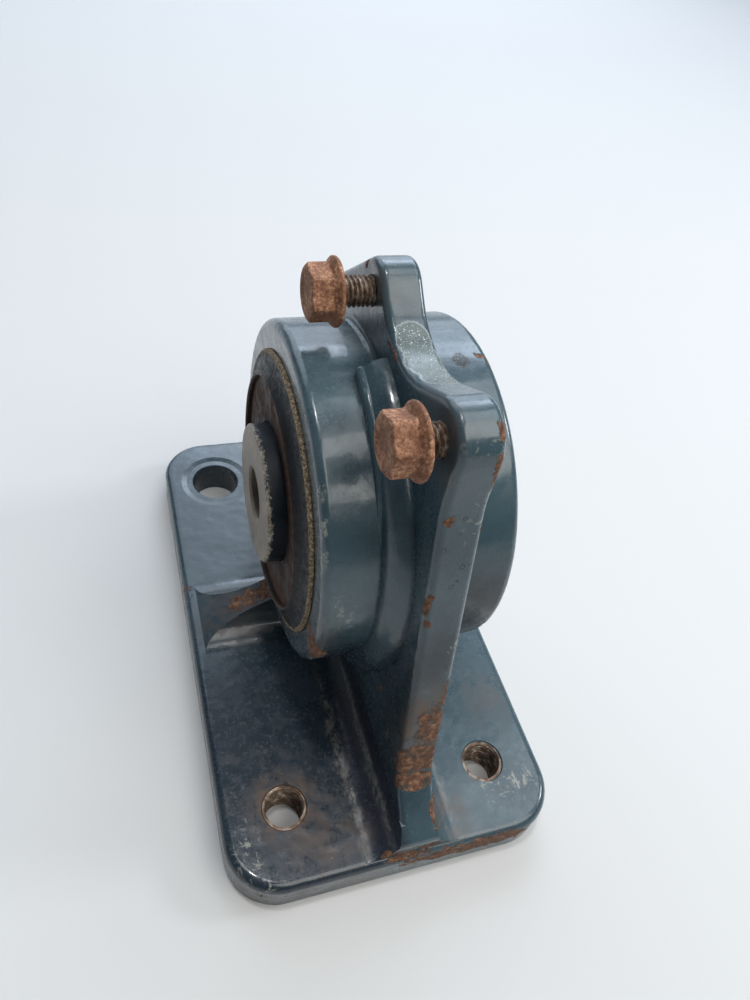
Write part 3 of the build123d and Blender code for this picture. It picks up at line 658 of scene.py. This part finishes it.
castingMaterial = paintedCasting()
boltMaterial = rustedSteel()
threadMaterial = threadSteel()
crustMaterial = crustFibre("driedSealingCrust", "#5c4d3b", "#b3a083")
whiteCrust = crustFibre("bleachedSealingCrust", "#7a7468", "#c4bfb4")
finishes = {
    "casting_paint": castingMaterial,
    "rusty_bolt": boltMaterial,
    "sleeve_steel": sleeveSteel(),
    "ring_paint": ringPaint(),
    "shield_rust": shieldRust(),
    "bead_crust": crustMaterial,
    "ball_steel": groundSteel("lappedBallSteel", "#c9cbcf", "#a9a49a", 0.08),
    "cage_steel": groundSteel("pressedCageSteel", "#8f8b84", "#5f5447", 0.38),
    "bearing_steel": groundSteel("groundRingSteel", "#a3a6aa", "#6f675c", 0.22),
}
for part in frame["record"]["subparts"]:
    node = frame["nodes"][part["node"]]
    node.data.materials.clear()
    node.data.materials.append(finishes[part["material_slot"]])
print("materials made")


# Threads: one surface that winds round its axis, closed at both ends

def newTree(name, sockets):  # a geometry tree with named inputs; ids holds each input's identifier
    tree = bpy.data.node_groups.new(name, "GeometryNodeTree")
    ids = {}
    for key, (label, kind) in sockets.items():
        socket = tree.interface.new_socket(label, in_out="INPUT", socket_type="NodeSocket" + kind)
        ids[key] = socket.identifier
    tree.interface.new_socket("Geometry", in_out="OUTPUT", socket_type="NodeSocketGeometry")
    add = nodeAdder(tree)
    return tree, ids, add, add("NodeGroupInput").node.outputs


def makeThreadTree():  # rows: cap, thread, cap, and for a hole one more back to the start
    tree, ids, add, inputs = newTree("windingThread", {
        "major": ("Major Radius", "Float"),
        "depth": ("Thread Depth", "Float"),
        "pitch": ("Pitch", "Float"),
        "length": ("Length", "Float"),
        "cap": ("Cap Radius", "Float"),
        "tip": ("Tip Chamfer", "Float"),
        "rows": ("Thread Rows", "Int"),
        "extra": ("Extra Rows", "Int"),
        "around": ("Steps Around", "Int"),
        "spacing": ("Spacing", "Vector"),
        "place": ("Place", "Vector"),
        "turn": ("Turn", "Vector"),
        "material": ("Material", "Material"),
    })
    steps = add("Math", [inputs["Steps Around"], 1], operation="ADD")
    rows = add("Math", [inputs["Thread Rows"], inputs["Extra Rows"]], operation="ADD")
    grid = add("GeometryNodeMeshGrid", {
        "Size X": 1.0, "Size Y": 1.0, "Vertices X": steps, "Vertices Y": rows})
    position = add("SeparateXYZ", [add("GeometryNodeInputPosition")]).node.outputs
    around = add("Math", [position["X"], 0.5], operation="ADD")
    rowShare = add("Math", [position["Y"], 0.5], operation="ADD")
    lastOfAll = add("Math", [rows, 1], operation="SUBTRACT")
    row = add("Math", [rowShare, lastOfAll], operation="MULTIPLY")
    row = add("Math", [row], operation="ROUND")

    # How far along the axis each row stands; the row that closes a hole's band goes back to the start
    lastThread = add("Math", [inputs["Thread Rows"], 1], operation="SUBTRACT")
    share = add("Math", [row, 1], operation="SUBTRACT")
    share = add("Math", [share, lastThread], operation="DIVIDE")
    share = add("Math", [share, 0], operation="MAXIMUM")
    share = add("Math", [share, 1], operation="MINIMUM")
    secondCap = add("Math", [inputs["Thread Rows"], 1.5], operation="ADD")
    back = add("Math", [row, secondCap], operation="GREATER_THAN")
    forth = add("Math", [1, back], operation="SUBTRACT")
    share = add("Math", [share, forth], operation="MULTIPLY")
    along = add("Math", [share, inputs["Length"]], operation="MULTIPLY")

    # A triangle wave that winds round, with flats an eighth of the pitch wide on the crest and a quarter
    # in the root
    turns = add("Math", [along, inputs["Pitch"]], operation="DIVIDE")
    phase = add("Math", [turns, around], operation="SUBTRACT")
    phase = add("Math", [phase], operation="FRACT")
    wave = add("Math", [phase, 2], operation="MULTIPLY")
    wave = add("Math", [wave, 1], operation="SUBTRACT")
    wave = add("Math", [wave], operation="ABSOLUTE")
    flank = add("Math", [wave, 0.125], operation="SUBTRACT")
    flank = add("Math", [flank, 1.6], operation="MULTIPLY")
    flank = add("Math", [flank, 0], operation="MAXIMUM")
    flank = add("Math", [flank, 1], operation="MINIMUM")
    cut = add("Math", [flank, inputs["Thread Depth"]], operation="MULTIPLY")
    radius = add("Math", [inputs["Major Radius"], cut], operation="SUBTRACT")

    # A bolt's tip is chamfered, and a hole's thread isn't
    toEnd = add("Math", [inputs["Length"], along], operation="SUBTRACT")
    tipRadius = add("Math", [inputs["Major Radius"], inputs["Tip Chamfer"]], operation="SUBTRACT")
    limit = add("Math", [tipRadius, toEnd], operation="ADD")
    limited = add("Math", [radius, limit], operation="MINIMUM")
    useTip = add("Math", [inputs["Tip Chamfer"], 0], operation="GREATER_THAN")
    radius = add("Mix", [useTip, radius, limited])

    firstCap = add("Math", [row, 0.5], operation="LESS_THAN")
    lastCap = add("Math", [inputs["Thread Rows"], 0.5], operation="ADD")
    lastCap = add("Math", [row, lastCap], operation="GREATER_THAN")
    isCap = add("Math", [firstCap, lastCap], operation="ADD")
    radius = add("Mix", [isCap, radius, inputs["Cap Radius"]])
    angle = add("Math", [around, 2 * math.pi], operation="MULTIPLY")
    sides = [add("Math", [angle], operation=way) for way in ("COSINE", "SINE")]
    sides = [add("Math", [radius, side], operation="MULTIPLY") for side in sides]
    combined = add("CombineXYZ", [*sides, along])
    shaped = add("GeometryNodeSetPosition", {"Geometry": grid, "Position": combined})
    closed = add("GeometryNodeMergeByDistance", {"Distance": 1e-06, "Geometry": shaped})
    turned = add("GeometryNodeTransform", {"Geometry": closed, "Rotation": inputs["Turn"]})
    spacing = add("SeparateXYZ", [inputs["Spacing"]]).node.outputs
    twoWide = add("Math", [spacing["X"], 0], operation="GREATER_THAN")
    twoDeep = add("Math", [spacing["Y"], 0], operation="GREATER_THAN")
    places = add("GeometryNodeMeshGrid", {
        "Size X": spacing["X"],
        "Size Y": spacing["Y"],
        "Vertices X": add("Math", [twoWide, 1], operation="ADD"),
        "Vertices Y": add("Math", [twoDeep, 1], operation="ADD"),
    })
    points = add("GeometryNodeMeshToPoints", {"Mesh": places})
    one = add("GeometryNodePoints", {"Count": 1})
    many = add("GeometryNodeSwitch", [twoWide, one, points], input_type="GEOMETRY")
    copies = add("GeometryNodeInstanceOnPoints", {"Points": many, "Instance": turned})
    placed = add("GeometryNodeTransform", {"Geometry": copies, "Translation": inputs["Place"]})
    real = add("GeometryNodeRealizeInstances", {"Geometry": placed})
    covered = add("GeometryNodeSetMaterial", {"Geometry": real, "Material": inputs["Material"]})
    add("NodeGroupOutput", [covered])
    return tree, ids


def runTree(name, tree, ids, values):  # a plain mesh object from the tree's result, with no modifier left
    holder = bpy.data.objects.new(name + "Maker", bpy.data.meshes.new(name + "Maker"))
    bpy.context.scene.collection.objects.link(holder)
    modifier = holder.modifiers.new("Nodes", "NODES")
    modifier.node_group = tree
    for key, value in values.items():
        modifier[ids[key]] = value
    bpy.context.view_layer.update()
    mesh = bpy.data.meshes.new_from_object(holder.evaluated_get(bpy.context.evaluated_depsgraph_get()))
    holder.modifiers.remove(modifier)
    bpy.data.objects.remove(holder)
    mesh.name = name
    piece = bpy.data.objects.new(name, mesh)
    bpy.context.scene.collection.objects.link(piece)
    return piece


def smoothOutward(piece, angle=math.radians(35)):  # faces point out, and only real corners stay sharp
    work = bmesh.new()
    work.from_mesh(piece.data)
    bmesh.ops.remove_doubles(work, verts=work.verts, dist=1e-7)
    bmesh.ops.recalc_face_normals(work, faces=work.faces)
    for face in work.faces:
        face.smooth = True
    for edge in work.edges:
        edge.smooth = len(edge.link_faces) == 2 and edge.calc_face_angle(0) < angle
    work.to_mesh(piece.data)
    work.free()


threadTree, threadIds = makeThreadTree()
holeThread = {"pitch": 2.0, "depth": 1.05, "wall": 0.12, "stepsAround": 56, "rowsPerPitch": 8, "lead": 0.5}
threadLength = plateTop - 2 * holeThread["lead"]
holeThreads = runTree("baseHoleThreads", threadTree, threadIds, {
    "major": (frontHoles["dims"]["hole_r_mm"] - 0.02) * mm,
    "depth": holeThread["depth"] * mm,
    "pitch": holeThread["pitch"] * mm,
    "length": threadLength * mm,
    "cap": (frontHoles["dims"]["hole_r_mm"] + holeThread["wall"]) * mm,
    "tip": 0.0,
    "rows": int(threadLength / holeThread["pitch"] * holeThread["rowsPerPitch"]),
    "extra": 3,
    "around": holeThread["stepsAround"],
    "spacing": (2 * holeX * mm, 0.0, 0.0),
    "place": (0.0, -holeY * mm, holeThread["lead"] * mm),
    "turn": (0.0, 0.0, 0.0),
    "material": threadMaterial,
})
print("base threads:", len(holeThreads.data.polygons), "faces")


# Flange bolts: a lathe turned head that a hexagon is forged into, then the rolled thread

boltHead = {
    "acrossFlats": 16.0,
    "cornerRound": 0.985,  # corners worn back to this share of the full corner
    "stepsAround": 144,
    # (out from the seat, radius allowed there, how far the shape is a hexagon)
    "rings": (
        (0.0, 5.2, 0), (0.0, 9.9, 0), (0.15, 10.45, 0), (0.55, 10.8, 0), (1.0, 10.9, 0), (1.45, 10.8, 0),
        (1.85, 10.4, 0), (2.15, 9.9, 0), (2.5, 9.5, 0), (2.8, 9.38, 0.55), (3.15, 9.32, 0.86),
        (3.6, 9.3, 1), (4.4, 9.3, 1), (6.0, 9.3, 1), (8.0, 9.3, 1), (8.9, 9.25, 1), (9.25, 8.85, 1),
        (9.55, 8.35, 1), (9.78, 7.9, 1), (9.92, 7.45, 1), (10.0, 6.9, 0.6), (9.95, 6.0, 0), (9.62, 5.3, 0),
        (9.5, 3.2, 0), (9.48, 0.0, 0)),
    "thread": {"major": 5.0, "depth": 0.92, "pitch": 1.5, "length": 20.0, "tip": 1.1, "rowsPerPitch": 10,
               "stepsAround": 48},
    "turns": {"front_bolt": math.radians(8), "rear_bolt": math.radians(33)},
}


def hexRadius(angle, apothem):
    third = math.pi / 3
    inSector = (angle + third / 2) % third - third / 2
    corner = apothem / math.cos(third / 2) * boltHead["cornerRound"]
    return min(apothem / math.cos(inSector), corner)


def makeBolt(node):
    low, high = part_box(node)
    axisY = (low.y + high.y) / 2
    axisZ = (low.z + high.z) / 2
    seat = high.x - boltHead["thread"]["length"] * mm
    work = bmesh.new()
    steps = boltHead["stepsAround"]
    rows = []
    for out, limit, hexShare in boltHead["rings"]:
        if limit == 0:
            rows.append([work.verts.new((seat - out * mm, axisY, axisZ))])
            continue
        row = []
        for step in range(steps):
            angle = 2 * math.pi * step / steps
            flat = min(limit, hexRadius(angle, boltHead["acrossFlats"] / 2))
            radius = (limit + (flat - limit) * hexShare) * mm
            turned = angle + boltHead["turns"][node]
            row.append(work.verts.new((seat - out * mm, axisY + radius * math.cos(turned),
                                       axisZ + radius * math.sin(turned))))
        rows.append(row)
    for lower, upper in zip(rows, rows[1:]):
        for step in range(steps):
            after = (step + 1) % steps
            if len(upper) == 1:
                work.faces.new((lower[step], lower[after], upper[0]))
            else:
                work.faces.new((lower[step], lower[after], upper[after], upper[step]))
    work.faces.new(rows[0])
    mesh = bpy.data.meshes.new(node + "Head")
    work.to_mesh(mesh)
    work.free()
    head = bpy.data.objects.new(node + "Head", mesh)
    bpy.context.scene.collection.objects.link(head)
    mesh.materials.append(boltMaterial)
    smoothOutward(head, math.radians(24))

    thread = boltHead["thread"]
    shank = runTree(node + "Thread", threadTree, threadIds, {
        "major": thread["major"] * mm,
        "depth": thread["depth"] * mm,
        "pitch": thread["pitch"] * mm,
        "length": thread["length"] * mm,
        "cap": 0.0,
        "tip": thread["tip"] * mm,
        "rows": int(thread["length"] / thread["pitch"] * thread["rowsPerPitch"]),
        "extra": 2,
        "around": thread["stepsAround"],
        "spacing": (0.0, 0.0, 0.0),
        "place": (seat, axisY, axisZ),
        "turn": (0.0, math.radians(90), 0.0),
        "material": threadMaterial,
    })
    smoothOutward(shank, math.radians(50))
    for piece in (head, shank):
        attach(piece, node)
        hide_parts(node)
    print(node, "made:", len(head.data.polygons) + len(shank.data.polygons), "faces")


smoothOutward(holeThreads, math.radians(50))
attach(holeThreads, "bracket")
makeBolt("front_bolt")
makeBolt("rear_bolt")


# Crust: brittle fibres of old sealing compound, laid in the seam round each outer ring

crust = {
    "fibres": 1700,
    "length": (0.8, 2.3),  # mm
    "width": 0.36,
    "radius": (50.0, 51.3),
    "seed": 11,
    "bits": 110,
    "bitSize": (0.6, 1.7),
    "bitWidth": 0.7,
    "depth": 0.9,  # half the seam's width that fibres fill
    "slant": {"fibres": 0.5, "bits": 1.2},  # radians they may lean from the seam's line
}


def makeCrustTree():
    tree, ids, add, inputs = newTree("crustFibres", {
        "count": ("Count", "Int"),
        "inner": ("Inner Radius", "Float"),
        "outer": ("Outer Radius", "Float"),
        "shortest": ("Shortest", "Float"),
        "longest": ("Longest", "Float"),
        "width": ("Width", "Float"),
        "depth": ("Depth", "Float"),
        "slant": ("Slant", "Float"),
        "place": ("Place", "Vector"),
        "seed": ("Seed", "Int"),
        "material": ("Material", "Material"),
    })
    limits = {  # each fibre draws one number of each sort between these
        "shift": (-0.9, 0.9),
        "radius": (inputs["Inner Radius"], inputs["Outer Radius"]),
        "across": (-1.0, 1.0),
        "lean": (-1.0, 1.0),
        "length": (inputs["Shortest"], inputs["Longest"]),
        "thick": (0.55, 1.3),
    }
    drawn = {}
    for offset, (sort, (low, high)) in enumerate(limits.items(), 1):
        seed = add("Math", [inputs["Seed"], offset], operation="ADD")
        drawn[sort] = add("FunctionNodeRandomValue", [low, high, None, seed], data_type="FLOAT")

    share = add("Math", [add("GeometryNodeInputIndex"), drawn["shift"]], operation="ADD")
    share = add("Math", [share, inputs["Count"]], operation="DIVIDE")
    angle = add("Math", [share, 2 * math.pi], operation="MULTIPLY")
    along = add("Math", [drawn["across"], inputs["Depth"]], operation="MULTIPLY")
    sides = [add("Math", [angle], operation=way) for way in ("COSINE", "SINE")]
    sides = [add("Math", [drawn["radius"], side], operation="MULTIPLY") for side in sides]
    spot = add("CombineXYZ", [along, *sides])
    points = add("GeometryNodePoints", {"Count": inputs["Count"], "Position": spot})
    blob = add("GeometryNodeMeshUVSphere", {"Segments": 6, "Rings": 4, "Radius": 0.5})
    lean = add("Math", [drawn["lean"], inputs["Slant"]], operation="MULTIPLY")
    onward = add("Math", [angle, math.pi / 2], operation="ADD")
    tipped = add("Math", [lean, 0.35], operation="MULTIPLY")
    turn = add("CombineXYZ", [onward, tipped, lean])
    thick = add("Math", [inputs["Width"], drawn["thick"]], operation="MULTIPLY")
    flat = add("Math", [thick, 0.8], operation="MULTIPLY")
    size = add("CombineXYZ", [thick, drawn["length"], flat])
    copies = add("GeometryNodeInstanceOnPoints", {
        "Points": points, "Instance": blob, "Rotation": turn, "Scale": size})
    placed = add("GeometryNodeTransform", {"Geometry": copies, "Translation": inputs["Place"]})
    real = add("GeometryNodeRealizeInstances", {"Geometry": placed})
    covered = add("GeometryNodeSetMaterial", {"Geometry": real, "Material": inputs["Material"]})
    add("NodeGroupOutput", [covered])
    return tree, ids


crustTree, crustIds = makeCrustTree()
for hand, way in (("left", -1), ("right", 1)):
    beadLow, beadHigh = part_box("seam_bead_" + hand)
    middle = (beadLow.x + beadHigh.x) / 2
    common = {
        "inner": crust["radius"][0] * mm,
        "outer": crust["radius"][1] * mm,
        "depth": crust["depth"] * mm,
        "place": (middle, axisPoint[1] * mm, axisPoint[2] * mm),
    }
    fibres = runTree("crustFibres_" + hand, crustTree, crustIds, {
        **common,
        "count": crust["fibres"],
        "shortest": crust["length"][0] * mm,
        "longest": crust["length"][1] * mm,
        "width": crust["width"] * mm,
        "slant": crust["slant"]["fibres"],
        "seed": crust["seed"] + way,
        "material": crustMaterial,
    })
    bits = runTree("crustBits_" + hand, crustTree, crustIds, {
        **common,
        "count": crust["bits"],
        "shortest": crust["bitSize"][0] * mm,
        "longest": crust["bitSize"][1] * mm,
        "width": crust["bitWidth"] * mm,
        "slant": crust["slant"]["bits"],
        "seed": crust["seed"] + 5 + way,
        "material": whiteCrust,
    })
    for piece in (fibres, bits):
        smoothOutward(piece, math.radians(60))
        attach(piece, "bracket")
print("crust laid")


# Floor, lights and camera

floorMesh = bpy.data.meshes.new("floor")
reach = 6.0  # m
corners = [(-reach, -reach, 0), (reach, -reach, 0), (reach, reach, 0), (-reach, reach, 0)]
floorMesh.from_pydata(corners, [], [(0, 1, 2, 3)])
floor = bpy.data.objects.new("floor", floorMesh)
bpy.context.scene.collection.objects.link(floor)
floor.location.z = -0.0002  # a hair low, so that it doesn't flicker against the plate
floorMaterial, addToFloor = newMaterial("paleStudioPaper")[:2]
paper = addToFloor("BsdfPrincipled", {"Base Color": "#cacac9", "Roughness": 0.9})
addToFloor("OutputMaterial", [paper])
floorMesh.materials.append(floorMaterial)

world = bpy.data.worlds.new("softRoom")
bpy.context.scene.world = world
world.use_nodes = True
world.node_tree.nodes.clear()
addToWorld = nodeAdder(world.node_tree)
upDown = addToWorld("SeparateXYZ", [addToWorld("TexCoord").node.outputs["Generated"]]).node.outputs["Z"]
sky = addToWorld("ValToRGB", [addToWorld("MapRange", [upDown, -0.1, 1.0])], stops=(
    (0.0, "#5a5c5e"), (0.35, "#7d8186"), (0.6, "#555a5f"), (1.0, "#474b50")))
background = addToWorld("Background", {"Strength": 0.8, "Color": sky})
addToWorld("OutputWorld", [background])

lamps = {  # where it stands, where it points, size, watts, colour
    "backPanel": ((-0.05, 1.60, 1.45), (0.0, 0.0, 0.08), (2.7, 1.5), 28.0, "#dfebfa"),
    "backLow": ((0.35, 1.60, 0.46), (0.0, 0.0, 0.12), (1.5, 0.5), 4.6, "#dfebfa"),
    "backWindow": ((0.74, 1.42, 1.33), (0.0, 0.0, 0.10), (1.25, 0.5), 10.0, "#dcebff"),
    "frontPanel": ((0.45, -0.72, 1.30), (0.0, 0.0, 0.10), (1.3, 0.95), 16.0, "#f7f6f1"),
    "rightPanel": ((0.74, 0.20, 1.46), (0.0, 0.0, 0.05), (0.5, 0.7), 4.2, "#eef5fc"),
    "keyRight": ((1.25, -0.10, 0.85), (0.0, 0.0, 0.10), (0.25, 0.25), 6.0, "#f6f9ff"),
    "topSpot": ((-0.10, 0.05, 1.30), (0.0, 0.0, 0.08), (0.10, 0.10), 4.0, "#ffffff"),
}
for name, (place, target, size, watts, colour) in lamps.items():
    lamp = bpy.data.lights.new(name, "AREA")
    lamp.shape = "RECTANGLE"
    lamp.size, lamp.size_y = size
    lamp.energy = watts
    lamp.color = toLinear(colour)[:3]
    holder = bpy.data.objects.new(name, lamp)
    bpy.context.scene.collection.objects.link(holder)
    aim = (Vector(target) - Vector(place)).to_track_quat("-Z", "Y")
    holder.matrix_world = Matrix.Translation(place) @ aim.to_matrix().to_4x4()

view = {
    "place": (-0.08176, -0.18023, 0.30213),
    "right": (0.94892, -0.27743, 0.15026),
    "up": (0.10560, 0.72804, 0.67735),
    "lens": 27.49,
    "shift": (0.0076, -0.0150),
}
camera = bpy.data.cameras.new("camera")
camera.lens = view["lens"]
camera.sensor_width = 36.0
camera.shift_x, camera.shift_y = view["shift"]
camera.clip_start = 0.005
right = Vector(view["right"]).normalized()
up = Vector(view["up"])
up = (up - up.dot(right) * right).normalized()
back = right.cross(up)
cameraHolder = bpy.data.objects.new("camera", camera)
bpy.context.scene.collection.objects.link(cameraHolder)
turn = Matrix((right, up, back)).transposed().to_4x4()
cameraHolder.matrix_world = Matrix.Translation(view["place"]) @ turn
bpy.context.scene.camera = cameraHolder
bpy.context.scene.view_settings.view_transform = "Standard"
bpy.context.scene.view_settings.look = "None"
